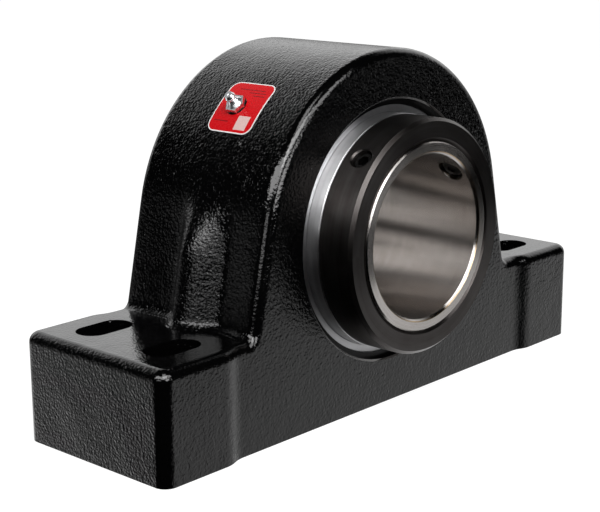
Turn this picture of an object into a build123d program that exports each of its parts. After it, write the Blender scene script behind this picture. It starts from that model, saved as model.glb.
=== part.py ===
# A rigid pillow block with a sealed double row taper roller bearing.
# Millimetres. X runs along the base, Y along the shaft, Z up.
# The origin is the middle of the base's underside. The front of the block faces -Y.
# Along the shaft, "out" is a distance from the middle of the bearing towards one end.
import os
from math import cos, radians, sin, tan

from build123d import *

os.makedirs("parts", exist_ok=True)

# ---- Shaft and inner ring
shaft_diameter = 100.0125
shaft_height = 107.95
inner_ring_wall = 7.2
inner_ring_overhang = 0.25
inner_ring_bore_chamfer = 1.5
inner_ring_land_chamfer = 0.8

# ---- Roller rows: cup, roller and cone surfaces all point at one apex on the shaft axis
cone_angle = 12.0
roller_half_angle = 1.25
roller_length = 26.0
roller_count = 26
row_centre = 21.0
cone_step = 3.1
raceway_clearance = 0.15
centre_rib_height = 5.7
end_rib_height = 2.4
end_rib_width = 3.6
rib_clearance = 0.25

# ---- Cages
cage_thickness = 1.6
cage_offset = 1.6
cage_end_band = 3.4
cage_flange_reach = 3.6
window_clearance = 0.18

# ---- Cups and the spacer between them
spacer_width = 10.0
spacer_wall = 3.4
spacer_hole_diameter = 5.0
spacer_hole_count = 4
cup_length = 35.0
cup_thin_wall = 2.45
cup_corner = 1.0
seat_gap = 0.05

# ---- Seals, flingers and retaining rings
carrier_thickness = 7.2
carrier_recess = 1.2
carrier_web_thickness = 2.0
carrier_web_reach = 9.0
spigot_length = 2.0
ring_thickness = 3.2
ring_depth = 3.8
ring_seat_depth = 2.0
ring_groove_depth = 2.3
ring_groove_play = 0.1
ring_split = 4.0
ring_split_angle = 20.0
seal_body_reach = 4.5
seal_lip_thickness = 1.0
seal_lip_lean = 3.0
running_gap = 0.1
flinger_thickness = 1.5
flinger_reach = 14.4
flinger_rim_length = 11.7
flinger_edge_radius = 0.6
labyrinth_gap = 0.4

# ---- Locking collars and their set screws
collar_width = 24.1
collar_reach = 14.0
collar_face_chamfer = 2.0
collar_bore_chamfer = 2.2
collar_back_chamfer = 0.6
screw_diameter = 12.7
screw_fit = 0.025
screw_angles = (42.0, 132.0)
screw_tip_recess = 1.0
screw_sink = 2.7
screw_end_chamfer = 1.0
screw_cup_diameter = 5.6
screw_cup_depth = 1.2
socket_flats = 6.35
socket_depth = 6.0
screw_hole_lead = 1.0
screw_passage_diameter = 16.5

# ---- Housing casting
crown_wall = 30.0
face_land = 4.85
flinger_standoff = 2.95
flare_angle = 12.0
foot_height = 65.5
slot_spacing_x = 317.5
slot_spacing_y = 57.15
slot_width = 20.64
slot_length = 36.5
slot_end_wall = 16.675
slot_side_wall = 19.855
foot_corner_radius = 8.0
edge_radius = 6.5
waist_run = 16.0
junction_radius = 5.0
bore_chamfer = 1.0
pick_tolerance = 0.05

# ---- The ends of the arch: a rib up the middle, sweeping into a pocket on each side of it
# The knee and the fades are heights above the shaft, the fade drop a depth below it.
rib_rise = 9.3
rib_spread = 24.0
rib_top_margin = 8.75
rib_knee_rise = 10.0
rib_fade_rise = 52.0
pocket_depth = 5.5
pocket_fade_drop = 13.0
pocket_fade_rise = 40.0
pocket_margin = 0.2
end_skim = 0.05
end_overlap = 2.25
end_headroom = 4.0
end_columns = 34
end_row_step = 5.0
end_turn_step = 15

# ---- Grease supply
grease_angle = 134.0
grease_groove_depth = 3.0
grease_passage_diameter = 5.0
fitting_thread_diameter = 9.7
fitting_thread_length = 10.0
fitting_standoff = 0.3
fitting_flats = 11.1
fitting_hex_height = 3.0
fitting_neck_diameter = 7.0
fitting_nose_diameter = 6.5
fitting_waist_diameter = 4.9
fitting_shoulder_height = 1.5
fitting_nose_height = 2.0
fitting_height = 10.6
fitting_bore_diameter = 1.6
fitting_mouth_depth = 1.0
check_ball_diameter = 2.6
check_ball_gap = 0.03
check_chamber_gap = 0.08
spring_wire = 0.4
spring_turns = 4

# ---- Blank label on the crown, around the grease fitting
label_width = 35.0
label_length = 36.8
label_corner = 6.0
label_thickness = 0.3
label_film = 0.12
label_out = 3.0
label_hole_diameter = 13.4

# ---- Radii and places that follow from the sizes above
shaft_radius = shaft_diameter / 2
land_radius = shaft_radius + inner_ring_wall
axis_angle = cone_angle + roller_half_angle
cup_angle = axis_angle + roller_half_angle
apex_distance = (land_radius + cone_step) / tan(radians(cone_angle))
apex_out = row_centre + apex_distance
spacer_half = spacer_width / 2
cup_face = spacer_half + cup_length
carrier_face = cup_face + carrier_thickness
ring_face = carrier_face + ring_thickness
body_half = ring_face + face_land
flinger_face = body_half + flinger_standoff
collar_face = flinger_face + collar_width
inner_ring_half = collar_face + inner_ring_overhang
ring_middle = carrier_face + ring_thickness / 2
screw_row = flinger_face + collar_width / 2


def cone_radius(out):
    return (apex_out - out) * tan(radians(cone_angle))


def roller_axis_radius(out):
    return (apex_out - out) * tan(radians(axis_angle))


def cup_radius(out):
    return (apex_out - out) * tan(radians(cup_angle))


# A roller lies along its own axis, half its length each way from the row's centre.
roller_reach = roller_length / 2 * cos(radians(axis_angle))
large_end_out = row_centre - roller_reach
small_end_out = row_centre + roller_reach
apex_to_row = apex_distance / cos(radians(axis_angle))
roller_taper = tan(radians(roller_half_angle))
roller_large_radius = (apex_to_row + roller_length / 2) * roller_taper - raceway_clearance
roller_small_radius = (apex_to_row - roller_length / 2) * roller_taper - raceway_clearance
roller_end_set = roller_large_radius * sin(radians(axis_angle))
end_rib_out = small_end_out + rib_clearance

cup_outer_radius = cup_radius(spacer_half) + cup_thin_wall
bore_radius = cup_outer_radius + seat_gap
crown_radius = bore_radius + crown_wall
flinger_radius = land_radius + flinger_reach
collar_radius = land_radius + collar_reach
ring_inner_radius = bore_radius - ring_depth

# ---- Planes
# In a section, local x is "out" towards the front and local y is the radius.
section = Plane(origin=(0, 0, shaft_height), x_dir=(0, -1, 0), z_dir=(-1, 0, 0))
shaft_axis = Axis((0, 0, shaft_height), (0, 1, 0))
# The shaft plane faces the front, with its origin on the shaft axis.
shaft_plane = Plane(origin=(0, 0, shaft_height), x_dir=(1, 0, 0), z_dir=(0, -1, 0))


def radial_plane(angle, out, radius=0):
    """A plane that faces away from the shaft axis, with local x towards the front."""
    outward = Vector(cos(radians(angle)), 0, sin(radians(angle)))
    origin = Vector(0, -out, shaft_height) + outward * radius
    return Plane(origin=origin, x_dir=(0, -1, 0), z_dir=outward)


# ==== Housing ====
flare_slope = tan(radians(flare_angle))
flare_top_x = crown_radius * cos(radians(flare_angle))
flare_top_z = shaft_height + crown_radius * sin(radians(flare_angle))
foot_half_length = (slot_spacing_x + slot_length) / 2 + slot_end_wall
foot_half_width = (slot_spacing_y + slot_width) / 2 + slot_side_wall


def flare_x(z):
    return flare_top_x + (flare_top_z - z) * flare_slope


flank_x = flare_x(foot_height)
waist_start_x = flank_x + 2 * junction_radius
waist_end_x = waist_start_x + waist_run

with BuildPart() as foot:
    with BuildSketch() as foot_plan:
        with BuildLine():
            waist = Line((0, -body_half), (waist_start_x, -body_half))
            waist_middle = ((waist_start_x + waist_end_x) / 2, -(body_half + foot_half_width) / 2)
            inward_bend = TangentArc(waist @ 1, waist_middle, tangent=waist % 1)
            outward_bend = TangentArc(
                waist_middle,
                (waist_end_x, -foot_half_width),
                tangent=inward_bend % 1,
            )
            FilletPolyline(
                outward_bend @ 1,
                (foot_half_length, -foot_half_width),
                (foot_half_length, 0),
                radius=foot_corner_radius,
            )
            mirror(about=Plane.YZ)
            mirror(about=Plane.XZ)
        make_face()
    extrude(amount=foot_height)
    fillet(foot.faces().sort_by(Axis.Z)[-1].edges(), edge_radius)

# The end cut is the space outside one end of the arch, above the foot. Its inner face is the
# end's finished surface: a rib up the middle that widens and sinks into the crown, and a
# pocket on each side that fades out below it.
flange_y = body_half - edge_radius
rib_top_spread = flange_y - rib_top_margin
rib_knee_z = shaft_height + rib_knee_rise
rib_fade_z = shaft_height + rib_fade_rise
pocket_fade_start_z = shaft_height - pocket_fade_drop
pocket_fade_end_z = shaft_height + pocket_fade_rise
rib_block_top = rib_fade_z + end_headroom
end_cut_top = rib_block_top + 2 * end_headroom


def smooth_step(value, start, end):
    share = min(max((value - start) / (end - start), 0), 1)
    return share * share * (3 - 2 * share)


def arch_x(z):
    """Where the plain arch's surface lies at a height: on its flank, or higher on its crown."""
    if z < flare_top_z:
        return flare_x(z)
    return (crown_radius**2 - (z - shaft_height) ** 2) ** 0.5


def end_x(y, z):
    """How far the end's finished surface lies from the block's middle."""
    climb = smooth_step(z, foot_height, pocket_fade_end_z)
    spread = rib_spread + (rib_top_spread - rib_spread) * climb
    fade = smooth_step(z, pocket_fade_start_z, pocket_fade_end_z)
    depth = pocket_depth + (pocket_margin - pocket_depth) * fade
    depth -= 3 * pocket_margin * smooth_step(z, rib_block_top, end_cut_top)
    rise = rib_rise * (1 - smooth_step(z, rib_knee_z, rib_fade_z))
    if abs(y) < spread:
        inset = depth - (rise + depth) * (1 - (y / spread) ** 2) ** 2
    elif abs(y) < flange_y:
        inset = depth * cos(radians(90 * (abs(y) - spread) / (flange_y - spread))) ** 2
    else:
        inset = -end_skim * (abs(y) - flange_y) ** 2
    return arch_x(z) + end_skim - inset


column_step = (flange_y + end_overlap) / end_columns
column_y = [column * column_step for column in range(-end_columns, end_columns + 1)]
end_rows = []
for turn in range(0, 90, end_turn_step):
    row_z = foot_height - end_skim + junction_radius * (1 - cos(radians(turn)))
    row_out = junction_radius * (1 - sin(radians(turn)))
    end_rows.append([Vector(-end_x(y, row_z) - row_out, y, row_z) for y in column_y])
row_z = foot_height + junction_radius
while row_z < end_cut_top + end_headroom:
    end_rows.append([Vector(-end_x(y, row_z), y, row_z) for y in column_y])
    row_z += end_row_step

with BuildPart() as end_cut:
    end_face = Face.make_surface_from_array_of_points(end_rows, tol=0.02, min_deg=3, max_deg=6)
    extrude(end_face, amount=2 * crown_radius, dir=(-1, 0, 0))
    split(bisect_by=Plane.XY.offset(foot_height), keep=Keep.TOP)

with BuildPart() as housing:
    # The body: the arch, its flanks and the part of the foot between its bolt slots.
    with BuildSketch(Plane.XZ):
        with BuildLine():
            flank_foot = (flank_x, foot_height)
            toe = (waist_end_x, foot_height)
            crown = CenterArc((0, shaft_height), crown_radius, flare_angle, 180 - 2 * flare_angle)
            right_flank = FilletPolyline(crown @ 0, flank_foot, toe, radius=junction_radius)
            left_flank = mirror(right_flank, about=Plane.YZ)
            Polyline(toe, (waist_end_x, 0), (-waist_end_x, 0), (-waist_end_x, foot_height))
        make_face()
    extrude(amount=body_half, both=True)
    face_edges = housing.faces().filter_by(Axis.Y).edges()
    arch_edges = face_edges.filter_by(lambda edge: edge.center().Z > foot_height - pick_tolerance)
    fillet(arch_edges, edge_radius)

    # A thick rib on each end, for the end cuts to shape.
    with BuildSketch(Plane.XZ):
        with BuildLine():
            rib_block_x = flank_x + rib_rise + 2 * junction_radius
            Polyline(
                (-rib_block_x, foot_height),
                (-rib_block_x + (rib_knee_z - foot_height) * flare_slope, rib_knee_z + junction_radius),
                (-arch_x(rib_block_top) - junction_radius, rib_block_top),
                (0, rib_block_top),
                (0, foot_height),
                close=True,
            )
        make_face()
        mirror(about=Plane.YZ)
    extrude(amount=rib_top_spread, both=True)
    add(end_cut.part, mode=Mode.SUBTRACT)
    mirror(end_cut.part, about=Plane.YZ, mode=Mode.SUBTRACT)
    add(foot.part)

    # The machined bore, from face to face, with its ring grooves and grease groove.
    with BuildSketch(section):
        with BuildLine():
            Polyline(
                (-body_half - bore_chamfer, 0),
                (-body_half - bore_chamfer, bore_radius + 2 * bore_chamfer),
                (-body_half + bore_chamfer, bore_radius),
                (-spacer_half, bore_radius),
                (-spacer_half, bore_radius + grease_groove_depth),
                (spacer_half, bore_radius + grease_groove_depth),
                (spacer_half, bore_radius),
                (body_half - bore_chamfer, bore_radius),
                (body_half + bore_chamfer, bore_radius + 2 * bore_chamfer),
                (body_half + bore_chamfer, 0),
                close=True,
            )
        make_face()
        for groove_middle in (ring_middle, -ring_middle):
            with Locations((groove_middle, 0)):
                Rectangle(
                    ring_thickness + ring_groove_play,
                    bore_radius + ring_groove_depth,
                    align=(Align.CENTER, Align.MIN),
                )
    revolve(axis=shaft_axis, mode=Mode.SUBTRACT)

    # Four long bolt slots.
    with BuildSketch(Plane.XY):
        with GridLocations(slot_spacing_x, slot_spacing_y, 2, 2):
            SlotOverall(slot_length, slot_width)
    extrude(amount=foot_height, mode=Mode.SUBTRACT)

    # The grease hole: a tapped mouth, then a drilled passage into the grease groove.
    with BuildSketch(radial_plane(grease_angle, 0, crown_radius + fitting_standoff)):
        Circle(fitting_thread_diameter / 2)
    extrude(amount=-(fitting_thread_length + fitting_standoff), mode=Mode.SUBTRACT)
    with BuildSketch(radial_plane(grease_angle, 0, crown_radius)):
        Circle(grease_passage_diameter / 2)
    extrude(amount=-crown_wall, mode=Mode.SUBTRACT)
housing.part.label = "housing"
export_step(housing.part, "parts/housing.step")

# ==== Inner ring: one long ring with both cone raceways and a rib between them ====
with BuildPart() as inner_ring:
    with BuildSketch(section):
        with BuildLine():
            rib_foot = large_end_out - rib_clearance - roller_end_set
            rib_top_radius = cone_radius(rib_foot) + centre_rib_height
            rib_top = rib_foot + centre_rib_height * tan(radians(axis_angle))
            half_outline = Polyline(
                (0, rib_top_radius),
                (rib_top, rib_top_radius),
                (rib_foot, cone_radius(rib_foot)),
                (end_rib_out, cone_radius(end_rib_out)),
                (end_rib_out, land_radius + end_rib_height),
                (end_rib_out + end_rib_width, land_radius + end_rib_height),
                (end_rib_out + end_rib_width, land_radius),
                (inner_ring_half - inner_ring_land_chamfer, land_radius),
                (inner_ring_half, land_radius - inner_ring_land_chamfer),
                (inner_ring_half, shaft_radius + inner_ring_bore_chamfer),
                (inner_ring_half - inner_ring_bore_chamfer, shaft_radius),
                (0, shaft_radius),
            )
            mirror(half_outline, about=Plane.YZ)
        make_face()
    revolve(axis=shaft_axis)
    for screw_out in (screw_row, -screw_row):
        with BuildSketch(*[radial_plane(angle, screw_out) for angle in screw_angles]):
            Circle(screw_passage_diameter / 2)
        extrude(amount=collar_radius, mode=Mode.SUBTRACT)
inner_ring.part.label = "inner_ring"
export_step(inner_ring.part, "parts/inner_ring.step")

# ==== Cups and their spacer ====
with BuildPart() as front_cup:
    with BuildSketch(section):
        with BuildLine():
            Polyline(
                (spacer_half, cup_radius(spacer_half)),
                (spacer_half, cup_outer_radius - cup_corner),
                (spacer_half + cup_corner, cup_outer_radius),
                (cup_face - cup_corner, cup_outer_radius),
                (cup_face, cup_outer_radius - cup_corner),
                (cup_face, cup_radius(cup_face)),
                close=True,
            )
        make_face()
    revolve(axis=shaft_axis)
front_cup.part.label = "front_cup"
export_step(front_cup.part, "parts/front_cup.step")

with BuildPart() as rear_cup:
    mirror(front_cup.part, about=Plane.XZ)
rear_cup.part.label = "rear_cup"
export_step(rear_cup.part, "parts/rear_cup.step")

with BuildPart() as cup_spacer:
    with BuildSketch(shaft_plane):
        Circle(cup_outer_radius)
        Circle(cup_outer_radius - spacer_wall, mode=Mode.SUBTRACT)
    extrude(amount=spacer_half, both=True)
    spacer_planes = [
        radial_plane(grease_angle + turn * 360 / spacer_hole_count, 0) for turn in range(spacer_hole_count)
    ]
    with BuildSketch(*spacer_planes):
        Circle(spacer_hole_diameter / 2)
    extrude(amount=bore_radius, mode=Mode.SUBTRACT)
cup_spacer.part.label = "cup_spacer"
export_step(cup_spacer.part, "parts/cup_spacer.step")

# ==== Roller rows and cages ====


def roller_frame(turn):
    """The middle of a roller's large end, the way along its axis, and the way out to its cup."""
    angle = radians(90 + 360 * turn / roller_count)
    lean = radians(axis_angle)
    spoke = Vector(cos(angle), 0, sin(angle))
    along = Vector(0, -cos(lean), 0) - spoke * sin(lean)
    across = spoke * cos(lean) - Vector(0, sin(lean), 0)
    start = Vector(0, -large_end_out, shaft_height) + spoke * roller_axis_radius(large_end_out)
    return start, along, across


roller_frames = [roller_frame(turn) for turn in range(roller_count)]

with BuildPart() as front_rollers:
    roller_planes = [
        Plane(origin=start, x_dir=across, z_dir=along) for start, along, across in roller_frames
    ]
    with Locations(*roller_planes):
        Cone(
            roller_large_radius,
            roller_small_radius,
            roller_length,
            align=(Align.CENTER, Align.CENTER, Align.MIN),
        )
front_rollers.part.label = "front_rollers"
export_step(front_rollers.part, "parts/front_rollers.step")

with BuildPart() as rear_rollers:
    mirror(front_rollers.part, about=Plane.XZ)
rear_rollers.part.label = "rear_rollers"
export_step(rear_rollers.part, "parts/rear_rollers.step")


def cage_point(reach, lift):
    """A point of the cage's section: along the roller axis from its middle, and out from that axis."""
    lean = radians(axis_angle)
    out = row_centre + reach * cos(lean) + lift * sin(lean)
    return (out, roller_axis_radius(row_centre) - reach * sin(lean) + lift * cos(lean))


def window_half_width(roller_radius):
    return (roller_radius**2 - cage_offset**2) ** 0.5 + window_clearance


with BuildPart() as front_cage:
    cage_reach = roller_length / 2 + window_clearance + cage_end_band
    cage_outside = cage_offset + cage_thickness
    flange_inside = cage_offset - cage_flange_reach
    with BuildSketch(section):
        with BuildLine():
            Polyline(
                cage_point(-cage_reach, cage_offset),
                cage_point(-cage_reach, cage_outside),
                cage_point(cage_reach, cage_outside),
                cage_point(cage_reach, flange_inside),
                cage_point(cage_reach - cage_thickness, flange_inside),
                cage_point(cage_reach - cage_thickness, cage_offset),
                close=True,
            )
        make_face()
    revolve(axis=shaft_axis)
    window_planes = [
        Plane(origin=start, x_dir=along, z_dir=across) for start, along, across in roller_frames
    ]
    with BuildSketch(*window_planes):
        with BuildLine():
            window_large = window_half_width(roller_large_radius)
            window_small = window_half_width(roller_small_radius)
            Polyline(
                (-window_clearance, -window_large),
                (roller_length + window_clearance, -window_small),
                (roller_length + window_clearance, window_small),
                (-window_clearance, window_large),
                close=True,
            )
        make_face()
    extrude(amount=roller_large_radius, mode=Mode.SUBTRACT)
front_cage.part.label = "front_cage"
export_step(front_cage.part, "parts/front_cage.step")

with BuildPart() as rear_cage:
    mirror(front_cage.part, about=Plane.XZ)
rear_cage.part.label = "rear_cage"
export_step(rear_cage.part, "parts/rear_cage.step")

# ==== Seals, retaining rings and flingers ====
web_outside = carrier_face - carrier_recess
web_inside = web_outside - carrier_web_thickness
web_radius = land_radius + carrier_web_reach
spigot_inner_radius = flinger_radius + labyrinth_gap
spigot_outer_radius = ring_inner_radius - seat_gap

with BuildPart() as front_seal_carrier:
    with BuildSketch(section):
        with BuildLine():
            Polyline(
                (cup_face, spigot_inner_radius),
                (cup_face, cup_outer_radius),
                (carrier_face, cup_outer_radius),
                (carrier_face, spigot_outer_radius),
                (carrier_face + spigot_length, spigot_outer_radius),
                (carrier_face + spigot_length, spigot_inner_radius),
                (web_outside, spigot_inner_radius),
                (web_outside, web_radius),
                (web_inside, web_radius),
                (web_inside, spigot_inner_radius),
                close=True,
            )
        make_face()
    revolve(axis=shaft_axis)
front_seal_carrier.part.label = "front_seal_carrier"
export_step(front_seal_carrier.part, "parts/front_seal_carrier.step")

with BuildPart() as rear_seal_carrier:
    mirror(front_seal_carrier.part, about=Plane.XZ)
rear_seal_carrier.part.label = "rear_seal_carrier"
export_step(rear_seal_carrier.part, "parts/rear_seal_carrier.step")

with BuildPart() as front_seal_lip:
    with BuildSketch(section):
        with BuildLine():
            lip_radius = land_radius + running_gap
            lip_root_radius = land_radius + seal_body_reach
            lip_tip = web_outside + seal_lip_lean
            dust_tip = web_inside - seal_lip_thickness / 2
            Polyline(
                (web_inside, web_radius - seat_gap),
                (web_outside, web_radius - seat_gap),
                (web_outside, lip_root_radius),
                (lip_tip, lip_radius + seal_lip_thickness),
                (lip_tip, lip_radius),
                (lip_tip - seal_lip_thickness, lip_radius),
                (web_inside + seal_lip_thickness, lip_root_radius - seal_lip_thickness),
                (dust_tip + seal_lip_thickness, lip_radius),
                (dust_tip, lip_radius),
                (web_inside, lip_root_radius),
                close=True,
            )
        make_face()
    revolve(axis=shaft_axis)
front_seal_lip.part.label = "front_seal_lip"
export_step(front_seal_lip.part, "parts/front_seal_lip.step")

with BuildPart() as rear_seal_lip:
    mirror(front_seal_lip.part, about=Plane.XZ)
rear_seal_lip.part.label = "rear_seal_lip"
export_step(rear_seal_lip.part, "parts/rear_seal_lip.step")

with BuildPart() as front_retaining_ring:
    with BuildSketch(shaft_plane.offset(carrier_face)):
        Circle(bore_radius + ring_seat_depth)
        Circle(ring_inner_radius, mode=Mode.SUBTRACT)
    extrude(amount=ring_thickness)
    with BuildSketch(radial_plane(ring_split_angle, ring_middle)):
        Rectangle(2 * ring_thickness, ring_split)
    extrude(amount=crown_radius, mode=Mode.SUBTRACT)
front_retaining_ring.part.label = "front_retaining_ring"
export_step(front_retaining_ring.part, "parts/front_retaining_ring.step")

with BuildPart() as rear_retaining_ring:
    mirror(front_retaining_ring.part, about=Plane.XZ)
rear_retaining_ring.part.label = "rear_retaining_ring"
export_step(rear_retaining_ring.part, "parts/rear_retaining_ring.step")

with BuildPart() as front_flinger:
    with BuildSketch(section) as flinger_section:
        with BuildLine():
            Polyline(
                (flinger_face, flinger_radius),
                (flinger_face - flinger_rim_length, flinger_radius),
                (flinger_face - flinger_rim_length, flinger_radius - flinger_thickness),
                (flinger_face - flinger_thickness, flinger_radius - flinger_thickness),
                (flinger_face - flinger_thickness, land_radius + seat_gap),
                (flinger_face, land_radius + seat_gap),
                close=True,
            )
        make_face()
        flinger_corner = flinger_section.vertices().sort_by_distance((flinger_face, flinger_radius))[0]
        fillet(flinger_corner, flinger_edge_radius)
    revolve(axis=shaft_axis)
front_flinger.part.label = "front_flinger"
export_step(front_flinger.part, "parts/front_flinger.step")

with BuildPart() as rear_flinger:
    mirror(front_flinger.part, about=Plane.XZ)
rear_flinger.part.label = "rear_flinger"
export_step(rear_flinger.part, "parts/rear_flinger.step")

# ==== Locking collars and set screws ====
with BuildPart() as front_locking_collar:
    with BuildSketch(section):
        with BuildLine():
            Polyline(
                (flinger_face, land_radius + seat_gap),
                (flinger_face, collar_radius - collar_back_chamfer),
                (flinger_face + collar_back_chamfer, collar_radius),
                (collar_face - collar_face_chamfer, collar_radius),
                (collar_face, collar_radius - collar_face_chamfer),
                (collar_face, land_radius + seat_gap + collar_bore_chamfer),
                (collar_face - collar_bore_chamfer, land_radius + seat_gap),
                close=True,
            )
        make_face()
    revolve(axis=shaft_axis)
    with BuildSketch(*[radial_plane(angle, screw_row) for angle in screw_angles]):
        Circle(screw_diameter / 2 + screw_fit)
    extrude(amount=collar_radius, mode=Mode.SUBTRACT)
    lead_radius = collar_radius - screw_hole_lead
    with Locations(*[radial_plane(angle, screw_row, lead_radius) for angle in screw_angles]):
        Cone(
            screw_diameter / 2 + screw_fit,
            screw_diameter / 2 + screw_fit + 2 * screw_hole_lead,
            2 * screw_hole_lead,
            align=(Align.CENTER, Align.CENTER, Align.MIN),
            mode=Mode.SUBTRACT,
        )
front_locking_collar.part.label = "front_locking_collar"
export_step(front_locking_collar.part, "parts/front_locking_collar.step")

with BuildPart() as rear_locking_collar:
    mirror(front_locking_collar.part, about=Plane.XZ)
rear_locking_collar.part.label = "rear_locking_collar"
export_step(rear_locking_collar.part, "parts/rear_locking_collar.step")

with BuildPart() as front_set_screws:
    screw_tip_radius = shaft_radius + screw_tip_recess
    screw_head_radius = collar_radius - screw_sink
    tip_planes = [radial_plane(angle, screw_row, screw_tip_radius) for angle in screw_angles]
    head_planes = [radial_plane(angle, screw_row, screw_head_radius) for angle in screw_angles]
    with BuildSketch(*tip_planes):
        Circle(screw_diameter / 2)
    extrude(amount=screw_head_radius - screw_tip_radius)
    chamfer(front_set_screws.edges().filter_by(GeomType.CIRCLE), screw_end_chamfer)
    with BuildSketch(*head_planes):
        RegularPolygon(socket_flats / 2, 6, major_radius=False)
    extrude(amount=-socket_depth, mode=Mode.SUBTRACT)
    with BuildSketch(*tip_planes):
        Circle(screw_cup_diameter / 2)
    extrude(amount=screw_cup_depth, mode=Mode.SUBTRACT)
front_set_screws.part.label = "front_set_screws"
export_step(front_set_screws.part, "parts/front_set_screws.step")

with BuildPart() as rear_set_screws:
    mirror(front_set_screws.part, about=Plane.XZ)
rear_set_screws.part.label = "rear_set_screws"
export_step(rear_set_screws.part, "parts/rear_set_screws.step")

# ==== Grease fitting, with its check ball and spring ====
fitting_out = Vector(cos(radians(grease_angle)), 0, sin(radians(grease_angle)))
fitting_foot = Vector(0, 0, shaft_height) + fitting_out * crown_radius
# In this section local x is the distance from the fitting's axis and local y the height above the crown.
fitting_section = Plane(
    origin=fitting_foot,
    x_dir=(0, -1, 0),
    z_dir=(-sin(radians(grease_angle)), 0, cos(radians(grease_angle))),
)
fitting_axis = Axis(fitting_foot, fitting_out)
hex_top = fitting_standoff + fitting_hex_height
ball_radius = check_ball_diameter / 2
chamber_radius = ball_radius + check_chamber_gap
mouth_radius = fitting_bore_diameter / 2
chamber_top = fitting_height - fitting_mouth_depth
ball_height = chamber_top - (ball_radius**2 - mouth_radius**2) ** 0.5 - check_ball_gap

with BuildPart() as grease_fitting:
    with BuildSketch(fitting_section):
        with BuildLine():
            Polyline(
                (mouth_radius, -fitting_thread_length + seat_gap),
                (fitting_thread_diameter / 2 - seat_gap, -fitting_thread_length + seat_gap),
                (fitting_thread_diameter / 2 - seat_gap, hex_top),
                (fitting_neck_diameter / 2, hex_top + fitting_shoulder_height),
                (fitting_waist_diameter / 2, fitting_height - 2 * fitting_nose_height),
                (fitting_nose_diameter / 2, fitting_height - fitting_nose_height),
                (fitting_waist_diameter / 2, fitting_height),
                (mouth_radius, fitting_height),
                (mouth_radius, chamber_top),
                (chamber_radius, chamber_top - (chamber_radius - mouth_radius) / 2),
                (chamber_radius, hex_top),
                (mouth_radius, hex_top),
                close=True,
            )
        make_face()
    revolve(axis=fitting_axis)
    with BuildSketch(radial_plane(grease_angle, 0, crown_radius + fitting_standoff)):
        RegularPolygon(fitting_flats / 2, 6, major_radius=False)
        Circle(fitting_thread_diameter / 2 - 2 * seat_gap, mode=Mode.SUBTRACT)
    extrude(amount=fitting_hex_height)
grease_fitting.part.label = "grease_fitting"
export_step(grease_fitting.part, "parts/grease_fitting.step")

with BuildPart() as grease_check_ball:
    with Locations(radial_plane(grease_angle, 0, crown_radius + ball_height)):
        Sphere(ball_radius)
grease_check_ball.part.label = "grease_check_ball"
export_step(grease_check_ball.part, "parts/grease_check_ball.step")

with BuildPart() as grease_check_spring:
    spring_radius = chamber_radius - spring_wire / 2 - seat_gap
    spring_foot = hex_top + spring_wire / 2 + seat_gap
    spring_top = ball_height - ((ball_radius + spring_wire / 2 + seat_gap) ** 2 - spring_radius**2) ** 0.5
    with BuildLine():
        coil = Helix(
            pitch=(spring_top - spring_foot) / spring_turns,
            height=spring_top - spring_foot,
            radius=spring_radius,
            center=fitting_foot + fitting_out * spring_foot,
            direction=fitting_out,
        )
    with BuildSketch(Plane(origin=coil @ 0, z_dir=coil % 0)):
        Circle(spring_wire / 2)
    sweep(path=coil)
grease_check_spring.part.label = "grease_check_spring"
export_step(grease_check_spring.part, "parts/grease_check_spring.step")

# ==== Blank label, curved to the crown, with a hole for the fitting ====
with BuildPart() as label:
    with BuildSketch(shaft_plane):
        Circle(crown_radius + label_film + label_thickness)
        Circle(crown_radius + label_film, mode=Mode.SUBTRACT)
    extrude(amount=body_half, both=True)
    with BuildSketch(radial_plane(grease_angle, label_out)):
        RectangleRounded(label_width, label_length, label_corner)
    extrude(amount=2 * crown_radius, mode=Mode.INTERSECT)
    with BuildSketch(radial_plane(grease_angle, 0)):
        Circle(label_hole_diameter / 2)
    extrude(amount=2 * crown_radius, mode=Mode.SUBTRACT)
label.part.label = "label"
export_step(label.part, "parts/label.step")
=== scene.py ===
# Pillow block bearing: finishes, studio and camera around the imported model.
# Metres, with the same axes as the model: X along the base, Y along the shaft, Z up.
from math import cos, pi, radians

import bpy
from mathutils import Matrix, Vector


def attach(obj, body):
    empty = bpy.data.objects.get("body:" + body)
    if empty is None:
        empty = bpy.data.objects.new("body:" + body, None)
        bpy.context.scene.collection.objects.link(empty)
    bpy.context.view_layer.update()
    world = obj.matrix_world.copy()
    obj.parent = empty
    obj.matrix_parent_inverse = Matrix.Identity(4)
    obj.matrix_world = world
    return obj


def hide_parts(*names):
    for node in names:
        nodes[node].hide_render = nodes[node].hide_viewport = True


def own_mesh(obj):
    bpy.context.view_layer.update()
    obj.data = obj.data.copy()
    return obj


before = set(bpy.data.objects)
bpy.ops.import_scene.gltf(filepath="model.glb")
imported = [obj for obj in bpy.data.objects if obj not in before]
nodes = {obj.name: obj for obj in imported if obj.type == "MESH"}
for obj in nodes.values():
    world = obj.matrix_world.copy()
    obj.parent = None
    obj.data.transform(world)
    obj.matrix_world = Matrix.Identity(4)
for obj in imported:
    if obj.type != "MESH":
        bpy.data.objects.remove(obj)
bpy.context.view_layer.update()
print("frame loaded,", len(nodes), "nodes")

shaftHeight = 0.10795
weldDistance = 0.000002


def clearSelection():
    bpy.ops.object.select_all(action="DESELECT")


# A merged copy of one of the model's nodes, selected and active, to be reshaped.
def copyNode(name, copyName):
    clearSelection()
    nodes[name].select_set(True)
    bpy.context.view_layer.objects.active = nodes[name]
    bpy.ops.object.duplicate()
    piece = bpy.context.object
    piece.name = copyName
    bpy.ops.object.mode_set(mode="EDIT")
    bpy.ops.mesh.select_all(action="SELECT")
    bpy.ops.mesh.remove_doubles(threshold=weldDistance)
    bpy.ops.mesh.customdata_custom_splitnormals_clear()
    bpy.ops.mesh.select_all(action="DESELECT")
    bpy.ops.object.mode_set(mode="OBJECT")
    return piece


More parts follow.
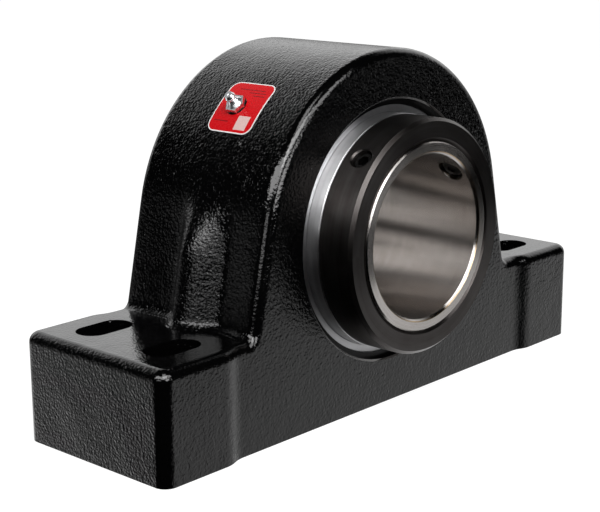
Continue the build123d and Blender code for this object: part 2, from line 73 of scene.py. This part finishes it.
# Each end of the arch has a rib up its middle, between two hollows. These are its shape in
# the model and as cast. Heights are above the shaft, depths are from the plain arch.
modelEnd = {
    "rise": 0.0093,                 # how far the rib stands out
    "riseFade": (0.01, 0.052),      # heights between which the rib runs out
    "front": (0.024, 0.04),         # its half width below and above, on the front side
    "rear": (0.024, 0.04),          # and on the rear side
    "widen": (-0.04245, 0.04),      # heights between which that width changes
    "power": 2.0,                   # how square its section is
    "hollow": 0.0055,               # depth of the hollows beside it
    "hollowFade": (-0.013, 0.04),   # heights between which they run out
}
castEnd = {
    "rise": 0.0093,
    "riseFade": (-0.004, 0.038),
    "front": (0.0262, 0.03),
    "rear": (0.0165, 0.019),
    "widen": (0.012, 0.045),
    "power": 2.05,
    "hollow": 0.0022,
    "hollowFade": (-0.02, 0.044),
}
endZone = {
    "reach": (0.09, 0.1375),        # along the base, from the middle
    "halfDepth": 0.04875,           # of the arch, along the shaft
    "heights": (0.0654, 0.172),     # from the feet's tops up
    "cuts": 2,
    "sharp": 35,                    # degrees; edges sharper than this stay sharp
}


def easeStep(value, start, end):
    share = min(max((value - start) / (end - start), 0), 1)
    return share * share * (3 - 2 * share)


# How far in from the plain arch an end lies at a point. Where the rib stands out, this is
# below zero.
def endInset(y, height, shape):
    below, above = shape["front" if y < 0 else "rear"]
    halfWidth = below + (above - below) * easeStep(height, *shape["widen"])
    hollow = shape["hollow"] * (1 - easeStep(height, *shape["hollowFade"]))
    rise = shape["rise"] * (1 - easeStep(height, *shape["riseFade"]))
    if abs(y) < halfWidth:
        section = (1 - (abs(y) / halfWidth) ** shape["power"]) ** 2
        return hollow - (rise + hollow) * section
    if abs(y) < endZone["halfDepth"]:
        slope = cos(pi / 2 * (abs(y) - halfWidth) / (endZone["halfDepth"] - halfWidth))
        return hollow * slope ** 2
    return 0.0


def inEndZone(place):
    return (endZone["reach"][0] < abs(place.x) < endZone["reach"][1]
            and abs(place.y) < endZone["halfDepth"]
            and endZone["heights"][0] < place.z < endZone["heights"][1])


# The casting's copy has its ends divided finer, and each point there moves in or out along
# the base by as much as the cast end differs from the model's.
def makeCasting():
    casting = copyNode("housing", "castHousing")
    mesh = casting.data
    for face in mesh.polygons:
        face.select = all(inEndZone(mesh.vertices[index].co) for index in face.vertices)
    bpy.ops.object.mode_set(mode="EDIT")
    bpy.ops.mesh.subdivide(number_cuts=endZone["cuts"])
    bpy.ops.object.mode_set(mode="OBJECT")
    for vertex in mesh.vertices:
        place = vertex.co
        if inEndZone(place):
            height = place.z - shaftHeight
            out = endInset(place.y, height, modelEnd) - endInset(place.y, height, castEnd)
            vertex.co.x += out if place.x > 0 else -out
    bpy.ops.object.shade_smooth_by_angle(angle=radians(endZone["sharp"]))
    weighted = casting.modifiers.new("evenNormals", "WEIGHTED_NORMAL")
    weighted.keep_sharp = True
    bpy.ops.object.modifier_apply(modifier=weighted.name)
    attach(casting, "block")
    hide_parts("housing")
    return casting


casting = makeCasting()
print("casting finished,", len(casting.data.polygons), "faces")

checkSlide = {
    "axis": (0.694658, 0.0, -0.71934),      # the way the ball is pushed in
    "travel": 0.001,
    "sharp": 40,                            # degrees, as above
}


# A merged copy of the check spring, shaded smooth, takes the place of the model's spring, which is
# hidden.
def makeSpring(spec):
    spring = copyNode("grease_check_spring", "shorteningSpring")
    bpy.ops.object.shade_smooth_by_angle(angle=radians(spec["sharp"]))
    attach(spring, "block")
    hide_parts("grease_check_spring")
    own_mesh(spring)
    return spring


spring = makeSpring(checkSlide)
print("spring finished")

noiseSpan = (0.3, 0.7)              # most of a noise lies between these levels


# Small helpers that add and wire shader nodes. A socket is linked, a number or colour is set.
def addNode(tree, kind, inputs=None, **settings):
    node = tree.nodes.new(kind)
    for name, value in settings.items():
        setattr(node, name, value)
    for socket, value in (inputs or {}).items():
        if isinstance(value, bpy.types.NodeSocket):
            tree.links.new(value, node.inputs[socket])
        else:
            node.inputs[socket].default_value = value
    return node


def calc(tree, operation, a, b=0.0, c=0.0):
    return addNode(tree, "ShaderNodeMath", {0: a, 1: b, 2: c}, operation=operation).outputs[0]


def times(tree, first, *others):
    result = first
    for factor in others:
        result = calc(tree, "MULTIPLY", result, factor)
    return result


def spread(tree, value, low, high, newLow=0.0, newHigh=1.0):
    inputs = {0: value, 1: low, 2: high, 3: newLow, 4: newHigh}
    return addNode(tree, "ShaderNodeMapRange", inputs).outputs[0]


def mixColor(tree, factor, a, b):
    node = addNode(tree, "ShaderNodeMix", data_type="RGBA")
    for index, value in ((0, factor), (6, a), (7, b)):      # the node's sockets for colours
        if isinstance(value, bpy.types.NodeSocket):
            tree.links.new(value, node.inputs[index])
        else:
            isColor = hasattr(value, "__len__")
            node.inputs[index].default_value = (*value, 1.0) if isColor else value
    return node.outputs[2]


def noise(tree, place, scale, detail=2.0, roughness=0.5, distortion=0.0):
    inputs = {"Vector": place, "Scale": scale, "Detail": detail, "Roughness": roughness,
              "Distortion": distortion}
    return addNode(tree, "ShaderNodeTexNoise", inputs).outputs["Fac"]


def bump(tree, height, depth, under=None):
    inputs = {"Height": height, "Distance": depth, "Strength": 1.0}
    if under is not None:
        inputs["Normal"] = under
    return addNode(tree, "ShaderNodeBump", inputs).outputs["Normal"]


def axes(tree, vector):
    return addNode(tree, "ShaderNodeSeparateXYZ", {0: vector}).outputs


def objectPlace(tree):
    return addNode(tree, "ShaderNodeTexCoord").outputs["Object"]


def startMaterial(name):
    material = bpy.data.materials.new(name)
    material.use_nodes = True
    return material, material.node_tree, material.node_tree.nodes["Principled BSDF"]


def feed(tree, shader, **sockets):
    for name, value in sockets.items():
        socket = shader.inputs[name.replace("_", " ")]
        if isinstance(value, bpy.types.NodeSocket):
            tree.links.new(value, socket)
        elif hasattr(value, "__len__"):
            socket.default_value = (*value, 1.0)
        else:
            socket.default_value = value


# A point's radius, distance along the shaft and turn, about the shaft's axis.
def aboutShaft(tree, place):
    centred = addNode(tree, "ShaderNodeMapping", {
        "Vector": place, "Location": (0, 0, -shaftHeight)})
    x, y, z = axes(tree, centred.outputs[0])
    radius = calc(tree, "SQRT", calc(tree, "ADD", times(tree, x, x), times(tree, z, z)))
    return radius, y, calc(tree, "ARCTAN2", z, x)


# Lines that run round the shaft: they change quickly across it, and slowly round it.
def ringLines(tree, radius, along, turn, scale, wander):
    across = calc(tree, "ADD", radius, along)
    other = calc(tree, "SUBTRACT", radius, along)
    line = addNode(tree, "ShaderNodeCombineXYZ", {
        0: across, 1: other, 2: times(tree, turn, wander)})
    return noise(tree, line.outputs[0], scale, roughness=0.6)


castPaint = {
    "color": (0.0012, 0.0012, 0.0013),
    "gloss": (0.05, 0.12),          # roughness in the dips and on the swells
    "grainScale": 640.0,            # the paint's own skin
    "grainDepth": 0.00036,
    "pebbleScale": 320.0,           # the mould's sand under it
    "pebbleDepth": 0.00023,
    "swellScale": 48.0,             # slow waves of the cast surface
    "swellDepth": 0.0004,
    "pitScale": 55.0,
    "pitSize": 0.07,
    "pitDepth": -0.0004,
    "pitless": 0.8,                 # share of the places that have no pit
    "calm": 0.7,                    # how much flatter the paint has run where it is calm,
    "calmTop": 0.067,               # which is on the tops of the feet, below this height,
    "topFacing": (0.7, 0.97),
    "calmRim": (0.046, 0.0495),     # and round the arch's rims, this far from its middle
    "rimFacing": ((0.05, 0.25), (0.85, 0.99)),
    "machined": (0.42, 0.41, 0.4),  # the bare metal of the seat and of the underside
    "seatRadius": 0.08105,
    "undersideTop": 0.00008,
}


def makeBlackPaint(spec):
    material, tree, shader = startMaterial("blackPaint")
    place = objectPlace(tree)
    grain = noise(tree, place, spec["grainScale"])
    pebble = noise(tree, place, spec["pebbleScale"], detail=3.0, roughness=0.55, distortion=0.3)
    swell = noise(tree, place, spec["swellScale"], detail=1.0, roughness=0.4)
    cells = addNode(tree, "ShaderNodeTexVoronoi", {"Vector": place, "Scale": spec["pitScale"]})
    chosen = addNode(tree, "ShaderNodeSeparateColor", {0: cells.outputs["Color"]}).outputs[0]
    pit = times(tree, spread(tree, cells.outputs["Distance"], 0.0, spec["pitSize"], 1.0, 0.0),
                calc(tree, "GREATER_THAN", chosen, spec["pitless"]))

    radius, along = aboutShaft(tree, place)[:2]
    height = axes(tree, place)[2]
    seat = calc(tree, "LESS_THAN", radius, spec["seatRadius"])
    underside = calc(tree, "LESS_THAN", height, spec["undersideTop"])
    bare = calc(tree, "MAXIMUM", seat, underside)
    painted = calc(tree, "SUBTRACT", 1.0, bare)

    facing = axes(tree, addNode(tree, "ShaderNodeNewGeometry").outputs["Normal"])
    endward = calc(tree, "ABSOLUTE", facing[1])
    footTop = times(tree, spread(tree, facing[2], *spec["topFacing"]),
                    calc(tree, "LESS_THAN", height, spec["calmTop"]))
    rim = times(tree, spread(tree, endward, *spec["rimFacing"][0]),
                spread(tree, endward, *spec["rimFacing"][1], 1.0, 0.0),
                spread(tree, calc(tree, "ABSOLUTE", along), *spec["calmRim"]))
    calm = calc(tree, "MAXIMUM", footTop, rim)
    rough = times(tree, painted, calc(tree, "MULTIPLY_ADD", calm, -spec["calm"], 1.0))

    shape = bump(tree, times(tree, swell, painted), spec["swellDepth"])
    shape = bump(tree, times(tree, pebble, rough), spec["pebbleDepth"], shape)
    shape = bump(tree, times(tree, grain, rough), spec["grainDepth"], shape)
    shape = bump(tree, times(tree, pit, painted), spec["pitDepth"], shape)

    feed(tree, shader, Base_Color=mixColor(tree, bare, spec["color"], spec["machined"]),
         Metallic=bare, Roughness=spread(tree, swell, *noiseSpan, *spec["gloss"]), Normal=shape)
    return material


# Steels that were turned or ground round the shaft. Grain is how far their shine is drawn
# out round it, lines and depth are the scale and the depth of the tool's marks.
ringSteels = {
    "groundSteel": {"color": (0.6, 0.57, 0.55), "dark": (0.52, 0.49, 0.465), "rough": (0.2, 0.26),
                    "grain": 0.93, "lines": 2600.0, "depth": 0.000003, "stain": (0.42, 0.3, 0.17)},
    "bearingSteel": {"color": (0.6, 0.6, 0.6), "dark": (0.46, 0.46, 0.47), "rough": (0.15, 0.25),
                     "grain": 0.6, "lines": 3200.0, "depth": 0.000003},
    "pressedSteel": {"color": (0.66, 0.66, 0.67), "dark": (0.5, 0.5, 0.51), "rough": (0.36, 0.44),
                     "grain": 0.9, "lines": 1500.0, "depth": 0.000006},
    "carrierSteel": {"color": (0.6, 0.6, 0.61), "dark": (0.45, 0.45, 0.46), "rough": (0.34, 0.42),
                     "grain": 0.9, "lines": 1800.0, "depth": 0.000006},
    "blackOxide": {"color": (0.075, 0.07, 0.068), "dark": (0.05, 0.044, 0.042),
                   "rough": (0.3, 0.38), "grain": 0.7, "lines": 2000.0, "depth": 0.000004},
    "ringOxide": {"color": (0.02, 0.02, 0.021), "dark": (0.012, 0.012, 0.012),
                  "rough": (0.25, 0.35), "grain": 0.5, "lines": 2000.0, "depth": 0.000004},
}
turned = {
    "lineWander": 0.0015,           # how soon a line changes round the shaft
    "bandWidth": 9,                 # of the wide bands, in lines
    "bandWander": 0.004,
    "cloudScale": 45.0,
    "toneSpan": (0.75, 1.25),       # of the bands and the cloud added up
    "roughSpan": (0.7, 1.3),        # of the lines and the cloud added up
    "stainRing": (0.05085, 0.05165),    # radii of the heat stain at the bore's mouth
    "stainStrength": 0.7,
    "grainTurn": 0.25,              # a quarter turn, so that the shine crosses the marks
}


def makeRingSteel(name, spec):
    material, tree, shader = startMaterial(name)
    place = objectPlace(tree)
    radius, along, turn = aboutShaft(tree, place)
    lines = ringLines(tree, radius, along, turn, spec["lines"], turned["lineWander"])
    bands = ringLines(tree, radius, along, turn, spec["lines"] / turned["bandWidth"],
                      turned["bandWander"])
    cloud = noise(tree, place, turned["cloudScale"], detail=3.0, roughness=0.6)
    share = spread(tree, calc(tree, "ADD", bands, cloud), *turned["toneSpan"])
    tone = mixColor(tree, share, spec["dark"], spec["color"])
    if "stain" in spec:
        mouth = times(tree, calc(tree, "GREATER_THAN", radius, turned["stainRing"][0]),
                      calc(tree, "LESS_THAN", radius, turned["stainRing"][1]),
                      turned["stainStrength"])
        tone = mixColor(tree, mouth, tone, spec["stain"])
    rough = spread(tree, calc(tree, "ADD", lines, cloud), *turned["roughSpan"], *spec["rough"])
    tangent = addNode(tree, "ShaderNodeTangent", direction_type="RADIAL", axis="Y").outputs[0]
    feed(tree, shader, Base_Color=tone, Metallic=1.0, Roughness=rough, Anisotropic=spec["grain"],
         Anisotropic_Rotation=turned["grainTurn"], Tangent=tangent,
         Normal=bump(tree, lines, spec["depth"]))
    return material


smallSteels = {
    "screwSteel": {"color": (0.045, 0.044, 0.043), "dark": (0.02, 0.02, 0.02),
                   "rough": (0.28, 0.42)},
    "zincPlate": {"color": (0.92, 0.93, 0.94), "dark": (0.76, 0.77, 0.8), "rough": (0.22, 0.34)},
    "springSteel": {"color": (0.5, 0.5, 0.51), "dark": (0.33, 0.33, 0.34), "rough": (0.2, 0.32)},
}
smallGrain = {"cloudScale": 420.0, "toneSpan": (0.35, 0.65), "scale": 2600.0, "depth": 0.00001}


def makeSmallSteel(name, spec):
    material, tree, shader = startMaterial(name)
    place = objectPlace(tree)
    cloud = noise(tree, place, smallGrain["cloudScale"], detail=3.0, roughness=0.6)
    grain = noise(tree, place, smallGrain["scale"])
    share = spread(tree, cloud, *smallGrain["toneSpan"])
    tone = mixColor(tree, share, spec["dark"], spec["color"])
    rough = spread(tree, cloud, *noiseSpan, *spec["rough"])
    feed(tree, shader, Base_Color=tone, Metallic=1.0, Roughness=rough,
         Normal=bump(tree, grain, smallGrain["depth"]))
    return material


sealRubber = {
    "color": (0.022, 0.022, 0.023),
    "rough": (0.45, 0.6),
    "grainScale": 1800.0,
    "grainDepth": 0.00003,
}


def makeSealRubber(spec):
    material, tree, shader = startMaterial("sealRubber")
    grain = noise(tree, objectPlace(tree), spec["grainScale"], detail=3.0, roughness=0.6)
    rough = spread(tree, grain, *noiseSpan, *spec["rough"])
    feed(tree, shader, Base_Color=spec["color"], Roughness=rough,
         Normal=bump(tree, grain, spec["grainDepth"]))
    return material


# The label lies on the crown: up is along it towards the top, across is along the shaft to
# the rear. The patch and the rules are boxes: their middles up and across, then half sizes.
labelPrint = {
    "red": (0.6, 0.002, 0.006),
    "white": (0.86, 0.85, 0.84),
    "turn": 134.0,                  # round the shaft, in degrees from +X
    "across": -0.003,
    "half": (0.0184, 0.0175),
    "corner": 0.006,
    "border": 0.0007,
    "patch": (-0.0112, -0.0082, 0.0047, 0.0046),
    "patchColor": (0.72, 0.5, 0.47),
    "rules": ((0.0128, -0.001, 0.0003, 0.010), (0.0106, -0.0065, 0.0003, 0.0065),
              (0.0084, -0.0085, 0.0003, 0.0045), (-0.0112, 0.0085, 0.0003, 0.0055)),
    "ruleColor": (0.2, 0.004, 0.006),
    "shine": 0.2,
    "rough": (0.24, 0.32),
    "grainScale": 900.0,
    "grainDepth": 0.00003,
}


def inBox(tree, up, across, box):
    return times(tree, calc(tree, "COMPARE", up, box[0], box[2]),
                 calc(tree, "COMPARE", across, box[1], box[3]))


def makeLabelFilm(spec):
    material, tree, shader = startMaterial("labelFilm")
    place = objectPlace(tree)
    centred = addNode(tree, "ShaderNodeMapping", {
        "Vector": place, "Location": (0, -spec["across"], -shaftHeight)})
    upright = addNode(tree, "ShaderNodeMapping", {
        "Vector": centred.outputs[0], "Rotation": (0, radians(spec["turn"] - 90), 0)})
    up, across = axes(tree, upright.outputs[0])[:2]

    # How far out a point is from the middles of the corners' rounds gives the border.
    gaps = [calc(tree, "SUBTRACT", calc(tree, "ABSOLUTE", side), half - spec["corner"])
            for side, half in zip((up, across), spec["half"])]
    outside = [calc(tree, "MAXIMUM", gap, 0.0) for gap in gaps]
    reach = calc(tree, "SQRT", calc(tree, "ADD", times(tree, outside[0], outside[0]),
                                    times(tree, outside[1], outside[1])))
    inset = calc(tree, "MINIMUM", calc(tree, "MAXIMUM", gaps[0], gaps[1]), 0.0)
    border = calc(tree, "GREATER_THAN", calc(tree, "ADD", reach, inset),
                  spec["corner"] - spec["border"])

    ruled = 0.0
    for box in spec["rules"]:
        ruled = calc(tree, "MAXIMUM", ruled, inBox(tree, up, across, box))
    color = mixColor(tree, ruled, spec["red"], spec["ruleColor"])
    color = mixColor(tree, inBox(tree, up, across, spec["patch"]), color, spec["patchColor"])
    color = mixColor(tree, border, color, spec["white"])
    grain = noise(tree, place, spec["grainScale"])
    rough = spread(tree, grain, *noiseSpan, *spec["rough"])
    feed(tree, shader, Base_Color=color, Roughness=rough, Specular_IOR_Level=spec["shine"],
         Normal=bump(tree, grain, spec["grainDepth"]))
    return material


finishes = {
    "blackPaint": makeBlackPaint(castPaint),
    "sealRubber": makeSealRubber(sealRubber),
    "labelFilm": makeLabelFilm(labelPrint),
}
for name, spec in ringSteels.items():
    finishes[name] = makeRingSteel(name, spec)
for name, spec in smallSteels.items():
    finishes[name] = makeSmallSteel(name, spec)

finishOf = {
    "housing": "blackPaint", "label": "labelFilm", "inner_ring": "groundSteel",
    "cup_spacer": "carrierSteel", "grease_fitting": "zincPlate",
    "grease_check_ball": "zincPlate", "grease_check_spring": "springSteel",
}
pairFinish = {                      # pieces that there are two of, front and rear
    "cup": "bearingSteel", "rollers": "bearingSteel", "cage": "pressedSteel",
    "seal_carrier": "carrierSteel", "seal_lip": "sealRubber", "retaining_ring": "ringOxide",
    "flinger": "pressedSteel", "locking_collar": "blackOxide", "set_screws": "screwSteel",
}
for side in ("front", "rear"):
    for piece, finish in pairFinish.items():
        finishOf[side + "_" + piece] = finish


def setFinish(piece, finish):
    for slot in piece.material_slots:
        slot.material = finishes[finish]


for name, node in nodes.items():
    setFinish(node, finishOf[name])
setFinish(casting, finishOf["housing"])
setFinish(spring, finishOf["grease_check_spring"])
print("finishes on", len(finishOf), "nodes")

# Angles are in degrees: spans are to the sides of where the white paper faces, and the
# other ones are above the horizon. A level of 1 is white.
studio = {
    "skyLevel": 0.5,                # what the room gives to matt surfaces
    "facing": 45.0,                 # the white paper's middle, from +X
    "floorSpan": (-110.0, 87.0),
    "floorSoft": 12.0,              # half width of the soft edge of a span
    "floorLevel": 0.7,
    "backSpan": (-40.0, 78.0),      # behind the block the paper dims towards the horizon,
    "backFloor": (-28.0, -10.0, 2.3, 0.15),     # between these angles by these factors
    "backWall": (2.0, 13.0, 0.2, 1.0),
    "wallSpan": (-57.0, 57.0),
    "wallSoft": 8.0,
    "wallTop": (36.0, 49.0),
    "wallLevel": 1.3,
}


def between(tree, angle, span, soft):
    rise = spread(tree, angle, span[0] - soft, span[0] + soft)
    fall = spread(tree, angle, span[1] - soft, span[1] + soft, 1.0, 0.0)
    return times(tree, rise, fall)


# What the camera sees directly, or through something clear.
def seenDirectly(tree, path):
    return calc(tree, "MAXIMUM", path["Is Camera Ray"], path["Is Transmission Ray"])


# The white paper lies under the block and rises behind it. The rest of the room is dark,
# which is what the glossy surfaces show; matt ones get an even level from all round.
def makeWorld(spec):
    world = bpy.data.worlds.new("paperSweep")
    bpy.context.scene.world = world
    world.use_nodes = True
    tree = world.node_tree
    way = addNode(tree, "ShaderNodeTexCoord").outputs["Generated"]
    aligned = addNode(tree, "ShaderNodeMapping", {
        "Vector": way, "Rotation": (0, 0, radians(-spec["facing"]))})
    x, y, z = axes(tree, aligned.outputs[0])
    side = calc(tree, "DEGREES", calc(tree, "ARCTAN2", y, x))
    lift = calc(tree, "DEGREES", calc(tree, "ARCSINE", z))

    behind = between(tree, side, spec["backSpan"], spec["floorSoft"])
    dimming = calc(tree, "SUBTRACT", spread(tree, lift, *spec["backFloor"]), 1.0)
    ground = times(tree, calc(tree, "LESS_THAN", lift, 0.0),
                   between(tree, side, spec["floorSpan"], spec["floorSoft"]), spec["floorLevel"],
                   calc(tree, "MULTIPLY_ADD", dimming, behind, 1.0))
    wall = times(tree, spread(tree, lift, *spec["wallTop"], 1.0, 0.0),
                 calc(tree, "GREATER_THAN", lift, 0.0),
                 between(tree, side, spec["wallSpan"], spec["wallSoft"]), spec["wallLevel"],
                 spread(tree, lift, *spec["backWall"]))

    path = addNode(tree, "ShaderNodeLightPath").outputs
    glossy = times(tree, path["Is Glossy Ray"], calc(tree, "MAXIMUM", ground, wall))
    matt = times(tree, path["Is Diffuse Ray"], spec["skyLevel"])
    level = calc(tree, "MAXIMUM", calc(tree, "MAXIMUM", glossy, seenDirectly(tree, path)), matt)
    background = tree.nodes["Background"]
    background.inputs["Color"].default_value = (1, 1, 1, 1)
    tree.links.new(level, background.inputs["Strength"])


whitePaper = {"half": 6.0, "tone": 0.3, "glow": 0.86}


def makeFloor(spec):
    clearSelection()
    bpy.ops.mesh.primitive_plane_add(size=2 * spec["half"], location=(0, 0, 0))
    floor = bpy.context.object
    floor.name = "floor"
    material, tree, shader = startMaterial("whitePaper")
    path = addNode(tree, "ShaderNodeLightPath").outputs
    glow = times(tree, seenDirectly(tree, path), spec["glow"])
    feed(tree, shader, Base_Color=(spec["tone"],) * 3, Roughness=1.0, Specular_IOR_Level=0.0,
         Emission_Color=(1, 1, 1), Emission_Strength=glow)
    floor.data.materials.append(material)
    floor.visible_glossy = False


# Past the paper's front edge the room's floor is dark, which only reflections show.
darkFloor = {"across": (-1.0, 4.0), "along": (-4.0, -0.29), "lift": 0.0015}


def makeDarkFloor(spec):
    clearSelection()
    left, right = spec["across"]
    near, far = spec["along"]
    bpy.ops.mesh.primitive_plane_add(
        size=1, location=((left + right) / 2, (near + far) / 2, spec["lift"]))
    card = bpy.context.object
    card.name = "darkFloor"
    card.scale = (right - left, far - near, 1)
    material, tree, shader = startMaterial("darkFloor")
    feed(tree, shader, Base_Color=(0, 0, 0), Roughness=1.0, Specular_IOR_Level=0.0)
    card.data.materials.append(material)
    card.visible_camera = False
    card.visible_diffuse = False
    card.visible_shadow = False
    card.visible_transmission = False


# Place, size across and along, and radiance of each lamp. They all look at the block, and
# those for shine only add reflections, and no light to matt surfaces.
lamps = {
    "frontBox": {"place": (-0.55, -0.95, 1.1), "size": (0.9, 0.5), "radiance": 8.0},
    "topBox": {"place": (-0.45, -0.45, 1.4), "size": (0.5, 0.5), "radiance": 4.0},
    "leftBox": {"place": (-1.55, -0.4, 0.38), "size": (0.8, 0.2), "radiance": 2.6},
    "cornerBox": {"place": (-1.25, -0.42, 0.98), "size": (2.0, 0.55), "radiance": 5.5,
                  "shineOnly": True},
    "lowFrontBox": {"place": (-0.3, -1.5, 0.5), "size": (1.0, 0.4), "radiance": 6.0,
                    "shineOnly": True},
    "highFrontBox": {"place": (0.27, -1.2, 1.1), "size": (0.7, 0.6), "radiance": 4.0,
                     "shineOnly": True},
}
lampAim = Vector((0, 0, 0.1))


def makeLamp(name, spec):
    clearSelection()
    place = Vector(spec["place"])
    bpy.ops.object.light_add(type="AREA", location=place)
    lamp = bpy.context.object
    lamp.name = name
    lamp.rotation_euler = (lampAim - place).to_track_quat("-Z", "Y").to_euler()
    lamp.data.shape = "RECTANGLE"
    lamp.data.size, lamp.data.size_y = spec["size"]
    lamp.data.energy = spec["radiance"] * pi * spec["size"][0] * spec["size"][1]
    lamp.visible_diffuse = not spec.get("shineOnly", False)


makeWorld(studio)
makeFloor(whitePaper)
makeDarkFloor(darkFloor)
for name, spec in lamps.items():
    makeLamp(name, spec)
bpy.context.scene.view_settings.view_transform = "Standard"
print("studio built")

view = {
    "place": (-0.6822, -0.6050, 0.3098),
    "right": (0.6752, -0.7376, -0.0059),
    "up": (0.1819, 0.1588, 0.9704),
    "lens": 88.67,                  # in mm, as the sensor is
    "sensor": 36,
    "nearest": 0.01,
}


def makeCamera(spec):
    clearSelection()
    bpy.ops.object.camera_add(location=spec["place"])
    camera = bpy.context.object
    right, up = Vector(spec["right"]), Vector(spec["up"])
    camera.rotation_euler = Matrix((right, up, right.cross(up))).transposed().to_euler()
    camera.data.lens = spec["lens"]
    camera.data.sensor_width = spec["sensor"]
    camera.data.clip_start = spec["nearest"]
    bpy.context.scene.camera = camera


makeCamera(view)
print("camera placed")
